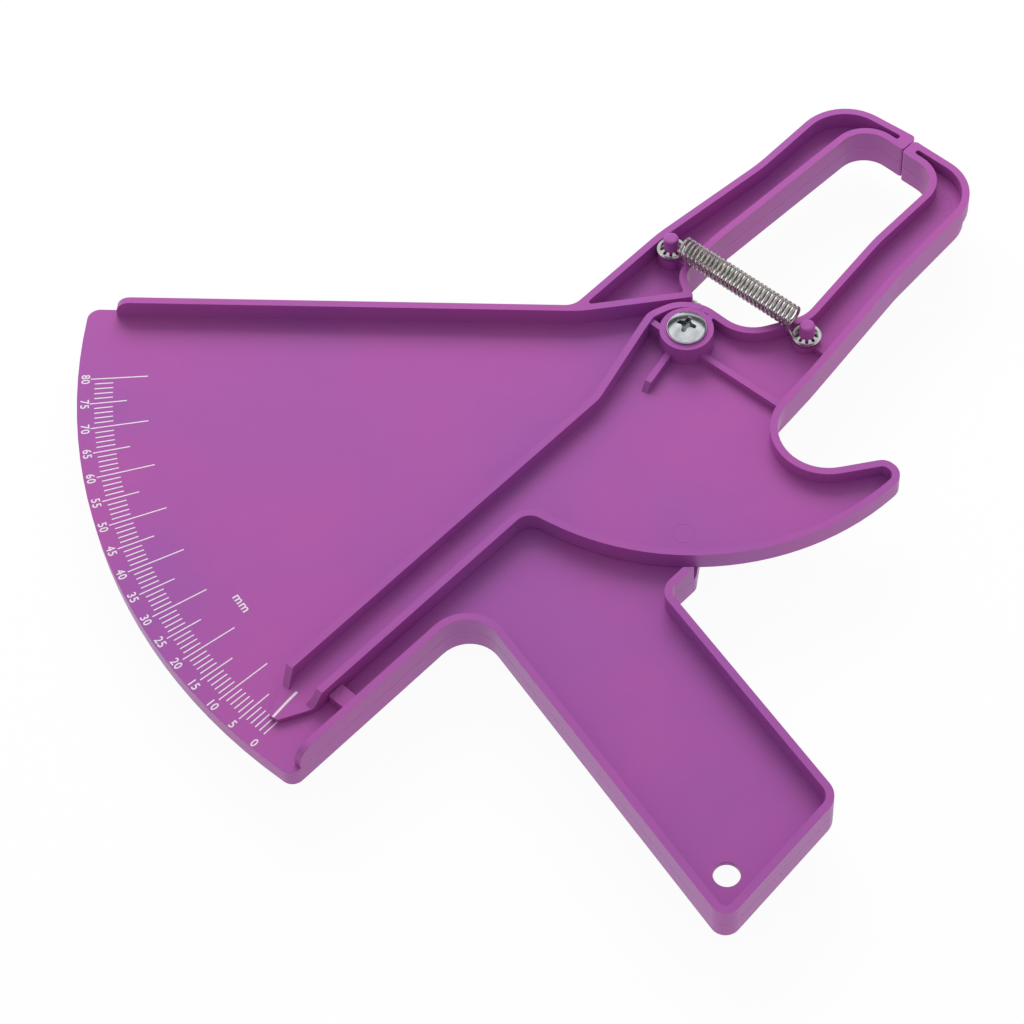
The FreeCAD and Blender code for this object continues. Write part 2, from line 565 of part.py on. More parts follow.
def make_washer(at, side):
    """Push-on washer: a ring with teeth that grip the peg."""
    bottom = SHOULDER_TOP + 2 * HOOK_PLAY + 2 * WIRE_RADIUS
    top = bottom + WASHER_THICKNESS
    washer = cylinder(0, 0, WASHER_RADIUS, bottom, top).cut(cylinder(0, 0, PEG_RADIUS, 0, top))
    for i in range(WASHER_TEETH):
        direction = 360.0 / WASHER_TEETH * (i + 0.5)
        ends = polar((0, 0), PEG_RADIUS / 2, direction), polar((0, 0), PEG_RADIUS + TOOTH_SLOT_LENGTH, direction)
        washer = washer.cut(bar(*ends, TOOTH_SLOT_WIDTH, 0, top))
    if side < 0:
        washer.rotate(V(0, 0, 0), V(1, 0, 0), 180)
    return washer.translate(V(at[0], at[1], 0))


def make_parts():
    parts = {"scale_frame": make_frame(), "jaw_arm": make_arm(), "pivot_screw": make_screw()}
    for name, pegs, side in (("front", FRONT_PEGS, 1), ("back", BACK_PEGS, -1)):
        parts[name + "_spring"], parts[name + "_spring_hook"] = make_spring(pegs, side)
        parts[name + "_frame_washer"] = make_washer(pegs[0], side)
        parts[name + "_arm_washer"] = make_washer(pegs[1], side)
    return parts


def main():
    os.makedirs("parts", exist_ok=True)
    parts = make_parts()
    box = parts["scale_frame"].BoundBox
    box.add(parts["jaw_arm"].BoundBox)
    origin = V(-box.Center.x, -box.Center.y, BACK_PEG_TOP)
    for name, shape in parts.items():
        shape.translate(origin)
        shape.exportStep("parts/" + name + ".step")
        print(name, "valid" if shape.isValid() else "NOT VALID", len(shape.Solids), "solid",
              round(shape.Volume, 1), "mm3")
    print("origin from the pivot:", origin)


main()
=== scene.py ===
"""Looks of the skinfold caliper: rounded mouldings, printed scale, springs, washers, screw, light."""
import json
import math

import bpy
import numpy as np
from mathutils import Matrix, Vector


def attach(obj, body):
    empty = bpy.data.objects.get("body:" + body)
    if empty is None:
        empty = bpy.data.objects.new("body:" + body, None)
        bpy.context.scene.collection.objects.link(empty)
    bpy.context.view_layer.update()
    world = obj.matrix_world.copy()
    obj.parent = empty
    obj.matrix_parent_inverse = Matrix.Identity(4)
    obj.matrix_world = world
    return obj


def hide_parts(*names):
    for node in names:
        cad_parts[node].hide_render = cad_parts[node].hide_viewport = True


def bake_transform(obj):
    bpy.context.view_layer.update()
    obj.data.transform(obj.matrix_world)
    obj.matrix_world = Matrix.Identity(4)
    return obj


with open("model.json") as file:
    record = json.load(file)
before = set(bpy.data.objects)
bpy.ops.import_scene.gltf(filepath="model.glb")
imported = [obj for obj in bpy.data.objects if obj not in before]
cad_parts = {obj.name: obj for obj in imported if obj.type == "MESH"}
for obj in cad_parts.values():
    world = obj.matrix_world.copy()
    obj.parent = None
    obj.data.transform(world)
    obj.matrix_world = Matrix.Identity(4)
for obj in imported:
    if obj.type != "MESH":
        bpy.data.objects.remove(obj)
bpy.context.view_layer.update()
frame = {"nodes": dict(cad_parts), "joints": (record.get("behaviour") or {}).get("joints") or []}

MM = 0.001
TAU = 2 * math.pi
PIVOT = np.array(next(j["pos_m"] for j in frame["joints"] if j["name"] == "arm_pivot"))

# ---- sizes in millimetres, about the pivot, with z = 0 on the printed face ----
TICK_RADIUS = 182.0                 # outer ends of the long ticks
TICK_INNER = {10: 164.4, 5: 170.7}  # inner ends of the ticks at tens and fives
SHORT_TICK = (175.0, 180.7)         # both ends of the single millimetres' ticks
JAW_REACH = 103.0                   # from the pivot to the middle of the jaw faces
ZERO_DIRECTION = 181.09             # degrees at which the scale starts
SCALE_TOP = 80                      # the last mark
TICK_WIDTH = 0.38
NUMERAL_RADII = (184.5, 183.7)      # of the first and of the last numeral
NUMERAL_HEIGHT = 2.7
NUMERAL_SQUEEZE = 0.9               # width of the numerals against the font's own
FONT_HEIGHT = 0.72                  # height of a numeral of the font of size one
LETTER_SPACING = 1.1
STROKE = 0.055                      # how much the letters' strokes are thickened on each side
INK_THICKNESS = 0.03                # the print stands up so far, and reaches as far into the plastic
UNIT_RADIUS = 158.3                 # place of the unit's letters
UNIT_DIRECTION = 167.85
UNIT_HEIGHT = 2.95
UNIT_SQUEEZE = 1.05
POINTER_LINE = ((-175.65, -2.22), (-170.45, -1.64), (-165.45, -1.31))
POINTER_LINE_WIDTH = 0.75
ARM_FLOOR = 1.75                    # top of the arm's plate
EJECTOR_MARKS = (((-52.9, -45.9), 3.3), ((94.5, -23.0), 2.5))   # rings that the mould left on it
RING_HALF_WIDTH = 0.16
RING_HEIGHT = 0.07
RING_SINK = 0.02                    # how far the rings' feet are sunk

FRAME_ROUNDING = 0.75               # of the mouldings' edges
ARM_ROUNDING = 0.7
WELD_GAP = 0.002
FLAT_ANGLE = 0.5                    # degrees under which neighbouring faces are one flat face
EDGE_ANGLE = 40.0                   # degrees over which an edge is rounded
SHADE_ANGLE = 30.0                  # degrees over which an edge is shaded sharp

FRONT_PEGS = ((22.3, 26.3), (23.8, -27.2))   # on the frame and on the arm
BACK_PEGS = ((17.0, 25.2), (18.6, -28.2))
PEG_RADIUS = 2.4
WIRE_RADIUS = 0.5
WIRE_SIDES = 14
COIL_RADIUS = 3.25                  # of the wire's middle
COIL_PITCH = 1.55
COIL_STEPS = 28                     # points in one turn of the wire
COIL_PLAY = 0.15                    # between the coil and the washers
HOOK_PLAY = 0.1                     # between the hooks and what they lie on
SHOULDER_TOP = 4.35                 # the hooks lie on the pegs' shoulders ...
HOOK_DROP = 2.0                     # ... this far below the coil's lowest turn
HOOK_WRAP = 250.0                   # degrees of a hook round its peg
HOOK_STEP = 8.0
HOOK_STRAIGHT = 0.6                 # where a hook ends and the wire's bend begins, from the peg
RISE_HEADINGS = ((6, 0, 0), (0.6, 5.0, 0.4))     # of the bend from the near hook to the coil
FALL_HEADINGS = ((0.6, 0, -6.5), (5.5, 0, 0))    # of the bend from the coil to the far hook
BEND_POINTS = 14
WASHER_RADIUS = 4.4
WASHER_THICKNESS = 0.375
WASHER_TEETH = 9
TOOTH_LENGTH = 1.05
TOOTH_STEEPNESS = 2.2
DISH_HEIGHT = 0.55                  # how far the teeth rise ...
DISH_WIDTH = 1.3                    # ... over the last stretch before the peg

HEAD_RADIUS = 6.2
HEAD_SEAT = 8.9                     # height on which the screw's head sits
HEAD_LIFT = 0.02                    # its underside over that height
HEAD_RIM = 0.75                     # height of its edge ...
HEAD_DOME = 1.7                     # ... and of its middle above the edge
EDGE_WIDTH = 0.5                    # its edge rounds over this width ...
EDGE_DROP = 0.45                    # ... and falls so far
HEAD_MIDDLE = 0.2                   # share of its radius that its underside leaves to the shank
RECESS_ANGLE = 20.0
RECESS_REACH = 3.0                  # half of the cross recess's length
RECESS_DEPTH = 1.6
RECESS_HALF_WIDTH = 0.85            # at the middle ...
RECESS_TAPER = 0.12                 # ... and so much less with each millimetre outwards
RECESS_WALL = 0.2                   # width of the slope at its sides ...
RECESS_END = 0.6                    # ... and at its ends
CENTRE_RADIUS = 1.6                 # of the round hollow in its middle ...
CENTRE_WALL = 0.4                   # ... and the width of the slope round that

PARTING_HEIGHT = -0.6               # where the halves of the mould met
PARTING_WIDTH = 0.6
PARTING_LIFT = 0.15
UPRIGHT = 0.4                       # how far an upright face's normal may rise or fall

# ---- light, in metres and in shares of plain white ----
FLOOR_HALF = 3.0
FLOOR_WHITE_SEEN = 0.95             # share of plain white in the floor, where it is looked at ...
FLOOR_WHITE_ELSE = 0.85             # ... and for the light that it sends up
WORLD_TOP = 0.46                    # the world's light from above ...
WORLD_SIDES = 0.42                  # ... what the horizon adds to it ...
WORLD_BACK = 0.42                   # ... and how much more of that comes from behind
BEHIND = (0.669, 0.743, 0.0)        # the direction behind the part
# what metals mirror, by height: a pale horizon, a dark band above it and a soft box on top
STRIPES = ((0.0, 1.0), (0.2, 0.9), (0.3, 0.05), (0.52, 0.08), (0.62, 1.0), (0.78, 1.0), (0.9, 0.7),
           (1.0, 0.95))
LAMP_PLACE = (0.5, 0.65, 0.6)
LAMP_SIZE = (0.9, 0.5)
LAMP_WATTS = 9.5

# ---- colours and surfaces ----
PURPLE = (0.376, 0.081, 0.358, 1)
PATCH_LOW = (0.90, 1.0, 1.0)        # factors of the purple in its bluer patches ...
PATCH_HIGH = (1.05, 1.03, 0.99)     # ... and in its redder ones
PARTING_PALE = 1.3                  # factor of the purple on the parting line
WHITE_INK = (0.82, 0.75, 0.83, 1)
INK_DIM = 0.9                       # factor of the white in its weaker patches
MOTTLE = (0.35, 0.65)               # stretch of the mottle over which colours change
METAL_SPREAD = 1.6                  # a metal's roughest patches against its smoothest


# ---- mesh helpers ----
def place(points):
    """Millimetres about the pivot to metres in the part's frame."""
    return np.asarray(points, float) * MM + PIVOT


def add_object(name, mesh, body, material):
    """Puts a mesh in the scene, on a body and in a slot where they are named."""
    piece = bpy.data.objects.new(name, mesh)
    bpy.context.scene.collection.objects.link(piece)
    mesh.materials.clear()
    mesh.materials.append(material)
    if body:
        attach(piece, body)
    return piece


def mesh_from(name, points, quads, smooth=True):
    """Mesh of points in millimetres about the pivot, and of faces given by the points' numbers."""
    mesh = bpy.data.meshes.new(name)
    mesh.from_pydata(place(points).tolist(), [], [list(face) for face in quads])
    mesh.polygons.foreach_set("use_smooth", np.full(len(mesh.polygons), smooth))
    mesh.update()
    return mesh


def grid_quads(rows, columns, wrap_rows=False, wrap_columns=False):
    """Quads of a grid of points numbered row by row: each joins a point, the next in its column and
    the two beside them; a wrapped side joins the last back to the first."""
    i = np.arange(rows if wrap_rows else rows - 1)
    j = np.arange(columns if wrap_columns else columns - 1)
    i, j = (a.ravel() for a in np.meshgrid(i, j, indexing="ij"))
    here, beside = i * columns, ((i + 1) % rows) * columns
    right = (j + 1) % columns
    return np.stack([here + j, here + right, beside + right, beside + j], 1)


def tube(path, side, radius, sides):
    """Round tube: at each point of the path a circle of the given radius, in the plane across the
    path, started at the vector side; the ends are closed by fans."""
    path, side = np.asarray(path, float), np.asarray(side, float)
    along = np.gradient(path, axis=0)
    along /= np.linalg.norm(along, axis=1, keepdims=True)
    side = side - along * np.sum(side * along, axis=1, keepdims=True)
    side /= np.linalg.norm(side, axis=1, keepdims=True)
    across = np.cross(along, side)
    turn = np.arange(sides) * TAU / sides
    ring = (np.cos(turn)[None, :, None] * side[:, None, :]
            + np.sin(turn)[None, :, None] * across[:, None, :])
    points = path[:, None, :] + ring * radius
    count = len(path)
    points = np.concatenate([points.reshape(-1, 3), path[:1], path[-1:]])
    near = np.arange(sides)
    following, far = (near + 1) % sides, (count - 1) * sides
    first, last = np.full((2, sides), count * sides) + [[0], [1]]
    fans = np.stack([first, following, near, last, far + near, far + following], 1).reshape(-1, 3)
    return points, grid_quads(count, sides, wrap_columns=True).tolist() + fans.tolist()


# ---- rounded mouldings ----
def moulding(name, node, body, width, material):
    """Copy of a moulded part's solid with its sharp edges rounded, as a mould leaves them."""
    mesh = frame["nodes"][node].data.copy()
    mesh.name = name
    piece = add_object(name, mesh, body, material)
    weld = piece.modifiers.new("weld", "WELD")
    weld.merge_threshold = WELD_GAP * MM
    flats = piece.modifiers.new("flats", "DECIMATE")
    flats.decimate_type = "DISSOLVE"
    flats.angle_limit = math.radians(FLAT_ANGLE)
    rounding = piece.modifiers.new("rounding", "BEVEL")
    rounding.width = width * MM
    rounding.segments = 3
    rounding.limit_method = "ANGLE"
    rounding.angle_limit = math.radians(EDGE_ANGLE)
    rounding.miter_outer = "MITER_ARC"
    rounding.use_clamp_overlap = True
    apply_modifiers(piece)
    piece.data.polygons.foreach_set("use_smooth", np.ones(len(piece.data.polygons), bool))
    piece.data.set_sharp_from_angle(angle=math.radians(SHADE_ANGLE))
    even = piece.modifiers.new("even", "WEIGHTED_NORMAL")
    even.keep_sharp = True
    apply_modifiers(piece)
    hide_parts(node)


def apply_modifiers(piece):
    """Makes what the modifiers show the piece's own mesh."""
    bpy.context.view_layer.update()
    graph = bpy.context.evaluated_depsgraph_get()
    mesh = bpy.data.meshes.new_from_object(piece.evaluated_get(graph))
    piece.modifiers.clear()
    piece.data = mesh


# ---- printed scale ----
def scale_direction(gap):
    """Direction in degrees of the mark for a jaw gap: the gap is the chord of the arm's turn."""
    return ZERO_DIRECTION - math.degrees(2 * math.asin(gap / (2 * JAW_REACH)))


def tick_ends(gap):
    """Radii of a mark's two ends; the mark at zero is as short as those of the single millimetres."""
    if gap % 10 == 0 and gap > 0:
        return TICK_INNER[10], TICK_RADIUS
    if gap % 5 == 0 and gap > 0:
        return TICK_INNER[5], TICK_RADIUS
    return SHORT_TICK


def make_ticks(material):
    """One thin bar for each millimetre: its corners lie along and across the mark's direction."""
    gaps = range(SCALE_TOP + 1)
    directions = np.radians([scale_direction(g) for g in gaps])
    ends = np.array([tick_ends(g) for g in gaps])
    out = np.stack([np.cos(directions), np.sin(directions)], 1)
    across = np.stack([-out[:, 1], out[:, 0]], 1) * TICK_WIDTH / 2
    corners = []
    for z in (-INK_THICKNESS, INK_THICKNESS):
        for end, sign in ((0, -1), (1, -1), (1, 1), (0, 1)):
            flat = out * ends[:, end:end + 1] + across * sign
            corners.append(np.concatenate([flat, np.full((len(flat), 1), z)], 1))
    points = np.stack(corners, 1).reshape(-1, 3)
    box = np.array([[4, 5, 6, 7], [0, 3, 2, 1], [0, 1, 5, 4], [1, 2, 6, 5], [2, 3, 7, 6], [3, 0, 4, 7]])
    faces = (box[None] + 8 * np.arange(len(out))[:, None, None]).reshape(-1, 4)
    add_object("scale_ticks", mesh_from("scale_ticks", points, faces, False), "frame", material)


def letters(text, height, radius, direction, squeeze):
    """Flat letters as a mesh, centred at a radius and direction about the pivot, their tops toward it."""
    curve = bpy.data.curves.new("letters", "FONT")
    curve.body = text
    curve.size = height * MM / FONT_HEIGHT
    curve.align_x = "CENTER"
    curve.align_y = "CENTER"
    curve.resolution_u = 3
    curve.extrude = INK_THICKNESS * MM
    curve.offset = STROKE * MM
    curve.space_character = LETTER_SPACING
    carrier = bpy.data.objects.new("letters", curve)
    bpy.context.scene.collection.objects.link(carrier)
    bpy.context.view_layer.update()
    mesh = bpy.data.meshes.new_from_object(carrier.evaluated_get(bpy.context.evaluated_depsgraph_get()))
    bpy.data.objects.remove(carrier)
    out = math.radians(direction)
    spot = Matrix.Translation(Vector(place((radius * math.cos(out), radius * math.sin(out), 0))))
    mesh.transform(spot @ Matrix.Rotation(out + TAU / 4, 4, "Z") @ Matrix.Diagonal((squeeze, 1, 1, 1)))
    return mesh


def join_meshes(name, meshes):
    """One mesh of several, which are removed."""
    points, faces, base = [], [], 0
    for mesh in meshes:
        co = np.empty(len(mesh.vertices) * 3)
        mesh.vertices.foreach_get("co", co)
        points.append(co.reshape(-1, 3))
        faces += [[base + v for v in polygon.vertices] for polygon in mesh.polygons]
        base += len(mesh.vertices)
        bpy.data.meshes.remove(mesh)
    joined = bpy.data.meshes.new(name)
    joined.from_pydata(np.concatenate(points).tolist(), [], faces)
    joined.update()
    return joined


def make_numerals(material):
    """A numeral at each five millimetres, its top toward the pivot, and the unit inside the scale."""
    meshes = []
    for gap in range(0, SCALE_TOP + 1, 5):
        radius = np.interp(gap, (0, SCALE_TOP), NUMERAL_RADII)
        meshes.append(letters(str(gap), NUMERAL_HEIGHT, radius, scale_direction(gap), NUMERAL_SQUEEZE))
    add_object("scale_numerals", join_meshes("scale_numerals", meshes), "frame", material)
    unit = letters("mm", UNIT_HEIGHT, UNIT_RADIUS, UNIT_DIRECTION, UNIT_SQUEEZE)
    add_object("scale_unit", join_meshes("scale_unit", [unit]), "frame", material)


def make_pointer_line(material):
    """The pointer's printed line: a strip along a parabola through three points."""
    a, b, c = (np.array(p) for p in POINTER_LINE)
    t = np.linspace(0, 1, 12)[:, None]
    middle = 2 * b - (a + c) / 2
    line = (1 - t) ** 2 * a + 2 * t * (1 - t) * middle + t ** 2 * c
    along = np.gradient(line, axis=0)
    along /= np.linalg.norm(along, axis=1, keepdims=True)
    side = np.stack([-along[:, 1], along[:, 0]], 1) * POINTER_LINE_WIDTH / 2
    low, high = ARM_FLOOR - INK_THICKNESS, ARM_FLOOR + INK_THICKNESS
    loop = [(line - side, high), (line + side, high), (line + side, low), (line - side, low)]
    points = np.stack([np.column_stack([p, np.full(len(p), z)]) for p, z in loop], 1).reshape(-1, 3)
    quads = grid_quads(len(line), 4, wrap_columns=True)[:, ::-1].tolist()
    end = 4 * (len(line) - 1)
    quads += [[1, 2, 3, 0], [end, end + 3, end + 2, end + 1]]
    add_object("pointer_line", mesh_from("pointer_line", points, quads, False), "arm", material)


def make_ejector_marks(material):
    """Faint rings round the places where pins pushed the arm out of its mould: a low half-round
    ridge swept round each centre."""
    turn = np.arange(64) * TAU / 64
    profile = np.linspace(0, math.pi, 7)
    points, quads, base = [], [], 0
    for (x, y), radius in EJECTOR_MARKS:
        r = radius + RING_HALF_WIDTH * np.cos(profile)[:, None]
        z = ARM_FLOOR - RING_SINK + RING_HEIGHT * np.sin(profile)[:, None] + 0 * turn
        points.append(np.stack([x + r * np.cos(turn), y + r * np.sin(turn), z], 2).reshape(-1, 3))
        quads.append(grid_quads(len(profile), len(turn), wrap_rows=True, wrap_columns=True) + base)
        base += len(points[-1])
    mesh = mesh_from("ejector_marks", np.concatenate(points), np.concatenate(quads))
    add_object("ejector_marks", mesh, "arm", material)


# ---- springs, washers and screw ----
def hook_path():
    """From the hook's free end round its peg, on an arc of a circle, and along its side to where the
    bend begins."""
    loop = PEG_RADIUS + HOOK_PLAY + WIRE_RADIUS
    turn = np.radians(np.linspace(-90 - HOOK_WRAP, -90, int(HOOK_WRAP / HOOK_STEP)))
    wrap = np.stack([loop * np.cos(turn), loop * np.sin(turn), np.zeros_like(turn)], 1)
    return np.concatenate([wrap, [(HOOK_STRAIGHT, -loop, 0.0)]])


def lead(a, b, headings):
    """Hermite curve from a to b that leaves and arrives along the two headings; without its ends."""
    a, b, da, db = (np.array(v, float) for v in (a, b, *headings))
    t = np.linspace(0, 1, BEND_POINTS + 2)[1:-1, None]
    return ((2 * t ** 3 - 3 * t ** 2 + 1) * a + (t ** 3 - 2 * t ** 2 + t) * da
            + (3 * t ** 2 - 2 * t ** 3) * b + (t ** 3 - t ** 2) * db)


def spring_path(chord):
    """Wire of one spring along X. The near hook rises to the coil's lowest side; the coil is a helix
    whose radius vector turns evenly round its axis, up to its left side; from there the wire drops
    to the far hook. Also the direction that the tube's section starts from: away from the axis on
    the helix, and down or sideways at the hooks."""
    start = WASHER_RADIUS + COIL_PLAY + WIRE_RADIUS
    length = chord - 2 * start
    turns = round(length / COIL_PITCH) - 0.25
    turn = np.linspace(0, TAU * turns, round(turns * COIL_STEPS) + 1)
    away = np.stack([np.zeros_like(turn), np.sin(turn), -np.cos(turn)], 1)
    coil = away * COIL_RADIUS
    coil[:, 0] = start + length * turn / turn[-1]
    coil[:, 2] += HOOK_DROP + COIL_RADIUS
    near = hook_path()
    rise = lead(near[-1], coil[0], RISE_HEADINGS)
    far = (hook_path() * (-1, 1, 1) + (chord, 0, 0))[::-1]
    fall = lead(coil[-1], far[0], FALL_HEADINGS)
    down, left = np.array([[0.0, 0.0, -1.0]]), np.array([[0.0, -1.0, 0.0]])
    share = np.linspace(0, 1, len(fall) + 2)[1:-1, None]
    side = np.concatenate([
        np.repeat(down, len(near) + len(rise), 0), away, left * (1 - share) + down * share,
        np.repeat(down, len(far), 0),
    ])
    return np.concatenate([near, rise, coil, fall, far]), side


def make_spring(name, pegs, front, material):
    """A spring's wire between its two pegs: a tube along its path, turned over for the back."""
    (ax, ay), (bx, by) = pegs
    chord = math.hypot(bx - ax, by - ay)
    turn = math.atan2(by - ay, bx - ax)
    path, side = spring_path(chord)
    points, faces = tube(path, side, WIRE_RADIUS, WIRE_SIDES)
    points = points + (0, 0, SHOULDER_TOP + HOOK_PLAY + WIRE_RADIUS)
    if not front:
        points = points * (1, -1, -1)
    x = points[:, 0] * math.cos(turn) - points[:, 1] * math.sin(turn) + ax
    y = points[:, 0] * math.sin(turn) + points[:, 1] * math.cos(turn) + ay
    mesh = mesh_from(name, np.stack([x, y, points[:, 2]], 1), faces)
    piece = add_object(name, mesh, None, material)
    side_name = "front" if front else "back"
    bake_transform(piece)
    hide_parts(side_name + "_spring", side_name + "_spring_hook")


def make_washer(name, at, front, body, material):
    """Push-on washer: a closed profile swept round the peg. The inner edge runs in and out with the
    teeth, and the teeth rise toward the peg."""
    columns, rows = WASHER_TEETH * 16, 9
    turn = np.arange(columns) * TAU / columns
    tooth = np.clip(0.5 + TOOTH_STEEPNESS * np.cos(WASHER_TEETH * turn), 0, 1)
    tooth = tooth * tooth * (3 - 2 * tooth)
    inner = PEG_RADIUS + TOOTH_LENGTH - TOOTH_LENGTH * tooth
    share = np.linspace(0, 1, rows)[:, None]
    radius = WASHER_RADIUS + (inner - WASHER_RADIUS) * share
    dish = DISH_HEIGHT * np.clip((PEG_RADIUS + DISH_WIDTH - radius) / DISH_WIDTH, 0, 1) ** 1.5
    bottom = SHOULDER_TOP + 2 * HOOK_PLAY + 2 * WIRE_RADIUS
    upper, lower = (np.stack([radius * np.cos(turn), radius * np.sin(turn), z + dish], 2)
                    for z in (bottom + WASHER_THICKNESS, bottom))
    points = np.concatenate([upper, lower[::-1]])
    quads = grid_quads(2 * rows, columns, wrap_rows=True, wrap_columns=True)
    if not front:
        points = points * (1, -1, -1)
    points = points + (at[0], at[1], 0)
    mesh = mesh_from(name, points.reshape(-1, 3), quads)
    mesh.set_sharp_from_angle(angle=math.radians(40))
    return add_object(name, mesh, body, material)


def make_screw_head(material):
    """Domed head on a polar grid: the height falls with the square of the radius, rounds over at
    the edge, and drops where the point lies in the cross recess."""
    columns = 192
    # the rings of points lie closer together over the recess than outside it
    r = np.concatenate([np.linspace(0.02, 2.8, 44), np.linspace(2.95, HEAD_RADIUS, 24)])
    turn = np.arange(columns) * TAU / columns
    radius, angle = np.meshgrid(r, turn, indexing="ij")
    top = HEAD_SEAT + HEAD_RIM + HEAD_DOME * (1 - (radius / HEAD_RADIUS) ** 2)
    over = np.clip((radius - HEAD_RADIUS + EDGE_WIDTH) / EDGE_WIDTH, 0, 1)
    top = top - EDGE_DROP * (1 - np.sqrt(np.clip(1 - over ** 2, 0, 1)))
    local = angle - math.radians(RECESS_ANGLE)
    x, y = radius * np.cos(local), radius * np.sin(local)
    narrow, long = np.minimum(abs(x), abs(y)), np.maximum(abs(x), abs(y))
    width = RECESS_HALF_WIDTH - RECESS_TAPER * long
    depth_across = np.clip((width + RECESS_WALL / 2 - narrow) / RECESS_WALL, 0, 1)
    depth_along = np.clip((RECESS_REACH - long) / RECESS_END, 0, 1)
    centre = np.clip((CENTRE_RADIUS - radius) / CENTRE_WALL, 0, 1)
    drop = RECESS_DEPTH * np.maximum(depth_across * depth_along, centre)
    points = np.stack([radius * np.cos(angle), radius * np.sin(angle), top - drop], 2)
    wall = points[-1].copy()
    wall[:, 2] = HEAD_SEAT + HEAD_LIFT
    inner = points[0].copy()
    inner[:, :2] = 0
    points = np.concatenate([inner[None], points, wall[None], wall[None] * (HEAD_MIDDLE, HEAD_MIDDLE, 1)])
    quads = grid_quads(len(points), columns, wrap_columns=True)
    mesh = mesh_from("screw_head", points.reshape(-1, 3), quads)
    mesh.set_sharp_from_angle(angle=math.radians(35))
    # the attribute sunk, the recess's depth as a share, drives the painted shade in the screw's colour
    sunk = np.zeros(points.shape[:2])
    sunk[1:-2] = drop / RECESS_DEPTH
    mesh.attributes.new("sunk", "FLOAT", "POINT").data.foreach_set("value", sunk.ravel())
    piece = add_object("screw_head", mesh, "frame", material)
    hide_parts("pivot_screw")


# ---- materials ----
def grey(value):
    """A grey as red, green, blue and alpha."""
    return (value,) * 3 + (1,)


def tinted(colour, factors):
    """A colour with its red, green and blue multiplied by the three factors."""
    return tuple(c * k for c, k in zip(colour, factors)) + (1,)


def new_material(name):
    """A material with its nodes, its links and its main shader."""
    material = bpy.data.materials.new(name)
    material.use_nodes = True
    nodes, links = material.node_tree.nodes, material.node_tree.links
    return material, nodes, links, nodes["Principled BSDF"]


def grain_group():
    """Fine surface of a moulding or a drawn metal: a mottle of two noises and a height for bumps."""
    group = bpy.data.node_groups.new("fine_grain", "ShaderNodeTree")
    for name, kind in (("Fine", "NodeSocketFloat"), ("Coarse", "NodeSocketFloat")):
        group.interface.new_socket(name, in_out="INPUT", socket_type=kind)
    for name in ("Mottle", "Height"):
        group.interface.new_socket(name, in_out="OUTPUT", socket_type="NodeSocketFloat")
    nodes, links = group.nodes, group.links
    given = nodes.new("NodeGroupInput")
    result = nodes.new("NodeGroupOutput")
    where = nodes.new("ShaderNodeTexCoord")
    for socket, output, detail in (("Coarse", "Mottle", 3.0), ("Fine", "Height", 2.0)):
        noise = nodes.new("ShaderNodeTexNoise")
        noise.inputs["Detail"].default_value = detail
        links.new(where.outputs["Object"], noise.inputs["Vector"])
        links.new(given.outputs[socket], noise.inputs["Scale"])
        links.new(noise.outputs["Fac"], result.inputs[output])
    return group


def use_group(nodes, group, **values):
    """Places a node group with its own values."""
    node = nodes.new("ShaderNodeGroup")
    node.node_tree = group
    for name, value in values.items():
        node.inputs[name].default_value = value
    return node


def maths(nodes, links, operation, *values, clamp=False):
    """Output of a Math node whose inputs are the given sockets and numbers."""
    node = nodes.new("ShaderNodeMath")
    node.operation = operation
    node.use_clamp = clamp
    for socket, value in zip(node.inputs, values):
        if isinstance(value, bpy.types.NodeSocket):
            links.new(value, socket)
        else:
            socket.default_value = value
    return node.outputs["Value"]


def mixed(nodes, links, share, first, second):
    """Output of a Mix Shader node between two shaders."""
    mix = nodes.new("ShaderNodeMixShader")
    for socket, source in zip(mix.inputs, (share, first, second)):
        links.new(source, socket)
    return mix.outputs["Shader"]


def add_bump(nodes, links, target, height, distance, strength=1.0):
    """Bumps of the given height on a shader's or another bump's normal."""
    bump = nodes.new("ShaderNodeBump")
    bump.inputs["Strength"].default_value = strength
    bump.inputs["Distance"].default_value = distance
    links.new(height, bump.inputs["Height"])
    links.new(bump.outputs["Normal"], target.inputs["Normal"])
    return bump


def ramp_between(nodes, links, mottle, low, high):
    """Colours from low to high over the middle stretch of the mottle."""
    ramp = nodes.new("ShaderNodeValToRGB")
    for stop, position, colour in zip(ramp.color_ramp.elements, MOTTLE, (low, high)):
        stop.position, stop.color = position, colour
    links.new(mottle, ramp.inputs["Fac"])
    return ramp.outputs["Color"]


def parting_line(nodes, links):
    """Low ridge on upright faces, where the two halves of the mould met: its height falls evenly to
    both sides of the line."""
    where = nodes.new("ShaderNodeTexCoord")
    at, facing = (nodes.new("ShaderNodeSeparateXYZ") for _ in range(2))
    links.new(where.outputs["Object"], at.inputs["Vector"])
    links.new(where.outputs["Normal"], facing.inputs["Vector"])
    above = maths(nodes, links, "SUBTRACT", at.outputs["Z"], PIVOT[2] + PARTING_HEIGHT * MM)
    ridge = nodes.new("ShaderNodeMapRange")
    ridge.inputs["From Min"].default_value = PARTING_WIDTH * MM / 2
    ridge.inputs["From Max"].default_value = 0.0
    links.new(maths(nodes, links, "ABSOLUTE", above), ridge.inputs["Value"])
    upright = maths(nodes, links, "COMPARE", facing.outputs["Z"], 0.0, UPRIGHT)
    return maths(nodes, links, "MULTIPLY", ridge.outputs["Result"], upright)


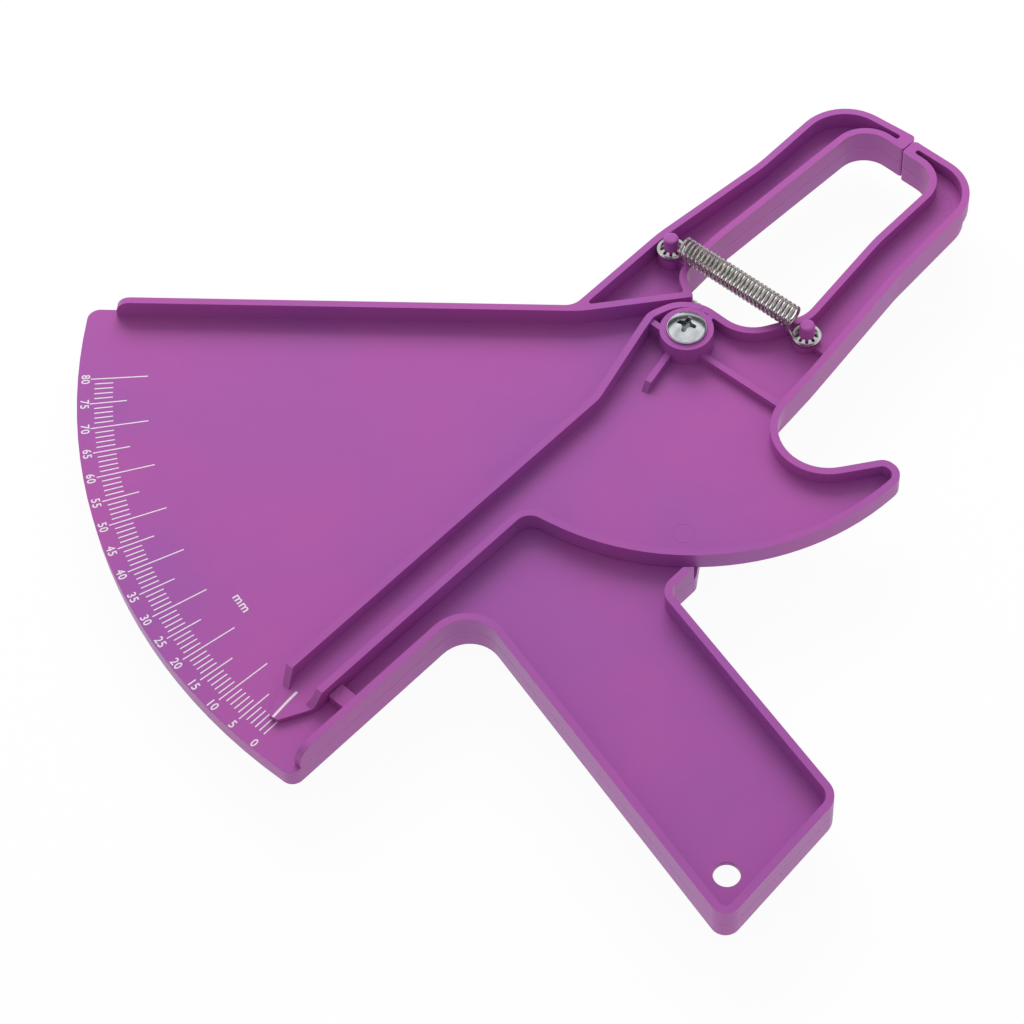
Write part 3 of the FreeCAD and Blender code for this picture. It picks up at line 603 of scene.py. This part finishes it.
def purple_plastic(grain):
    """Moulded plastic: wide soft patches a little redder or bluer, a satin surface and a parting line."""
    material, nodes, links, shader = new_material("purple_moulding")
    fine = use_group(nodes, grain, Fine=2600.0, Coarse=20.0)
    patches = ramp_between(nodes, links, fine.outputs["Mottle"],
                           tinted(PURPLE, PATCH_LOW), tinted(PURPLE, PATCH_HIGH))
    line = nodes.new("ShaderNodeMixRGB")
    ridge = parting_line(nodes, links)
    links.new(ridge, line.inputs["Fac"])
    links.new(patches, line.inputs["Color1"])
    line.inputs["Color2"].default_value = tinted(PURPLE, (PARTING_PALE,) * 3)
    links.new(line.outputs["Color"], shader.inputs["Base Color"])
    rough = ramp_between(nodes, links, fine.outputs["Mottle"], grey(0.36), grey(0.44))
    links.new(rough, shader.inputs["Roughness"])
    shader.inputs["Specular IOR Level"].default_value = 0.4
    grained = add_bump(nodes, links, shader, fine.outputs["Height"], 0.0001, strength=0.06)
    add_bump(nodes, links, grained, ridge, PARTING_LIFT * MM)
    return material


def white_ink(grain):
    """Printed white, a little weaker in fine patches, so that some of the plastic seems to show."""
    material, nodes, links, shader = new_material("white_ink")
    fine = use_group(nodes, grain, Fine=4000.0, Coarse=900.0)
    white = ramp_between(nodes, links, fine.outputs["Mottle"], tinted(WHITE_INK, (INK_DIM,) * 3), WHITE_INK)
    links.new(white, shader.inputs["Base Color"])
    shader.inputs["Roughness"].default_value = 0.55
    add_bump(nodes, links, shader, fine.outputs["Height"], 0.00002, strength=0.1)
    return material


def bright_metal(name, grain, low, high, roughness, coarse):
    """Metal between two colours, in patches whose fineness is the scale coarse."""
    material, nodes, links, shader = new_material(name)
    fine = use_group(nodes, grain, Fine=5200.0, Coarse=coarse)
    links.new(ramp_between(nodes, links, fine.outputs["Mottle"], low, high), shader.inputs["Base Color"])
    shader.inputs["Metallic"].default_value = 1.0
    rough = ramp_between(nodes, links, fine.outputs["Mottle"], grey(roughness),
                         grey(roughness * METAL_SPREAD))
    links.new(rough, shader.inputs["Roughness"])
    add_bump(nodes, links, shader, fine.outputs["Height"], 0.00003, strength=0.05)
    return material


def shade_recess(material, depth_name, shade_colour):
    """Darkens a metal's colour where the named attribute of its mesh says that the surface is sunk: painted
    shade in a hollow.
    """
    nodes, links = material.node_tree.nodes, material.node_tree.links
    shader = nodes["Principled BSDF"]
    depth = nodes.new("ShaderNodeAttribute")
    depth.attribute_name = depth_name
    shade = nodes.new("ShaderNodeMixRGB")
    links.new(depth.outputs["Fac"], shade.inputs["Fac"])
    links.new(shader.inputs["Base Color"].links[0].from_socket, shade.inputs["Color1"])
    shade.inputs["Color2"].default_value = shade_colour
    links.new(shade.outputs["Color"], shader.inputs["Base Color"])


# ---- floor, light and camera ----
def make_floor():
    """Pale floor: white where it is looked at, with a faint shadow, pale for all other light, and
    clear from below."""
    mesh = bpy.data.meshes.new("floor")
    corners = [(x * FLOOR_HALF, y * FLOOR_HALF, 0) for x, y in ((-1, -1), (1, -1), (1, 1), (-1, 1))]
    mesh.from_pydata(corners, [], [(0, 1, 2, 3)])
    floor = bpy.data.objects.new("floor", mesh)
    bpy.context.scene.collection.objects.link(floor)
    material, nodes, links, shader = new_material("floor_white")
    shader.inputs["Base Color"].default_value = grey(0.93)
    shader.inputs["Roughness"].default_value = 0.9
    glow = nodes.new("ShaderNodeEmission")
    glow.inputs["Color"].default_value = grey(1.0)
    seen = nodes.new("ShaderNodeLightPath").outputs
    looked_at = seen["Is Camera Ray"]
    for kind in ("Is Glossy Ray", "Is Transmission Ray"):
        looked_at = maths(nodes, links, "MAXIMUM", looked_at, seen[kind])
    white = maths(nodes, links, "MULTIPLY_ADD", looked_at, FLOOR_WHITE_SEEN - FLOOR_WHITE_ELSE,
                  FLOOR_WHITE_ELSE)
    above = mixed(nodes, links, white, shader.outputs["BSDF"], glow.outputs["Emission"])
    clear = nodes.new("ShaderNodeBsdfTransparent")
    backfacing = nodes.new("ShaderNodeNewGeometry").outputs["Backfacing"]
    surface = mixed(nodes, links, backfacing, above, clear.outputs["BSDF"])
    links.new(surface, nodes["Material Output"].inputs["Surface"])
    mesh.materials.append(material)


def make_world():
    """Light from all round, brighter toward the horizon and most of all behind the part. Metals
    mirror stripes in its place."""
    world = bpy.data.worlds.new("studio")
    bpy.context.scene.world = world
    world.use_nodes = True
    nodes, links = world.node_tree.nodes, world.node_tree.links
    where = nodes.new("ShaderNodeTexCoord")
    split = nodes.new("ShaderNodeSeparateXYZ")
    links.new(where.outputs["Generated"], split.inputs["Vector"])
    behind = nodes.new("ShaderNodeVectorMath")
    behind.operation = "DOT_PRODUCT"
    behind.inputs[1].default_value = BEHIND
    links.new(where.outputs["Generated"], behind.inputs[0])
    sides = maths(nodes, links, "MULTIPLY_ADD", behind.outputs["Value"], WORLD_BACK, WORLD_SIDES)
    low = maths(nodes, links, "SUBTRACT", 1.0, split.outputs["Z"], clamp=True)
    level = maths(nodes, links, "MULTIPLY_ADD", sides, low, WORLD_TOP)
    around = nodes["Background"]
    around.inputs["Color"].default_value = grey(1.0)
    links.new(level, around.inputs["Strength"])
    stripes = nodes.new("ShaderNodeValToRGB")
    stops = stripes.color_ramp.elements
    for height, _ in STRIPES[1:-1]:
        stops.new(height)
    for stop, (_, brightness) in zip(stops, STRIPES):
        stop.color = grey(brightness)
    links.new(split.outputs["Z"], stripes.inputs["Fac"])
    mirrored = nodes.new("ShaderNodeBackground")
    links.new(stripes.outputs["Color"], mirrored.inputs["Color"])
    seen = nodes.new("ShaderNodeLightPath")
    light = mixed(nodes, links, seen.outputs["Is Glossy Ray"], around.outputs["Background"],
                  mirrored.outputs["Background"])
    links.new(light, nodes["World Output"].inputs["Surface"])


def make_key_lamp():
    """Wide soft lamp above and behind the part, aimed at the origin; metals don't mirror it."""
    data = bpy.data.lights.new("key", "AREA")
    data.shape = "RECTANGLE"
    data.size, data.size_y = LAMP_SIZE
    data.energy = LAMP_WATTS
    lamp = bpy.data.objects.new("key", data)
    lamp.location = LAMP_PLACE
    lamp.rotation_euler = (-Vector(LAMP_PLACE)).to_track_quat("-Z", "Y").to_euler()
    lamp.visible_glossy = False
    bpy.context.scene.collection.objects.link(lamp)


def make_camera():
    """Camera above and before the part, a little rolled."""
    right = Vector((0.690952, -0.721025, -0.052046))
    down = Vector((-0.610636, -0.543599, -0.575868))
    forward = Vector((0.386923, 0.429678, -0.815885))
    data = bpy.data.cameras.new("camera")
    data.sensor_width = 36
    data.lens = 102.03
    data.clip_start = 0.01
    camera = bpy.data.objects.new("camera", data)
    turn = Matrix((right, -down, -forward)).transposed().to_4x4()
    spot = Vector((-0.408358, -0.367781, 0.6931)) + Vector(PIVOT)
    camera.matrix_world = Matrix.Translation(spot) @ turn
    bpy.context.scene.collection.objects.link(camera)
    bpy.context.scene.camera = camera


# ---- the part ----
grain = grain_group()
purple = purple_plastic(grain)
ink = white_ink(grain)
spring_wire = bright_metal("spring_wire", grain, (0.36, 0.345, 0.32, 1), (0.58, 0.56, 0.525, 1),
                           roughness=0.15, coarse=700.0)
stamped_steel = bright_metal("stamped_steel", grain, (0.48, 0.48, 0.475, 1), (0.68, 0.68, 0.675, 1),
                             roughness=0.2, coarse=500.0)
screw_steel = bright_metal("screw_steel", grain, (0.58, 0.61, 0.64, 1), (0.72, 0.75, 0.78, 1),
                           roughness=0.12, coarse=400.0)
# painted shade: the screw's cross recess is darkened in its colour, most where it is sunk deepest
shade_recess(screw_steel, "sunk", (0.20, 0.215, 0.23, 1))

moulding("frame_moulding", "scale_frame", "frame", FRAME_ROUNDING, purple)
moulding("arm_moulding", "jaw_arm", "arm", ARM_ROUNDING, purple)
make_ejector_marks(purple)
make_ticks(ink)
make_numerals(ink)
make_pointer_line(ink)
make_screw_head(screw_steel)
for side, pegs, front in (("front", FRONT_PEGS, True), ("back", BACK_PEGS, False)):
    make_spring(side + "_spring_wire", pegs, front, spring_wire)
    for holder, at in zip(("frame", "arm"), pegs):
        toothed = make_washer(side + "_" + holder + "_toothed_washer", at, front, holder, stamped_steel)
        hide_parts(side + "_" + holder + "_washer")

make_floor()
make_world()
make_key_lamp()
make_camera()
bpy.context.scene.view_settings.view_transform = "Standard"
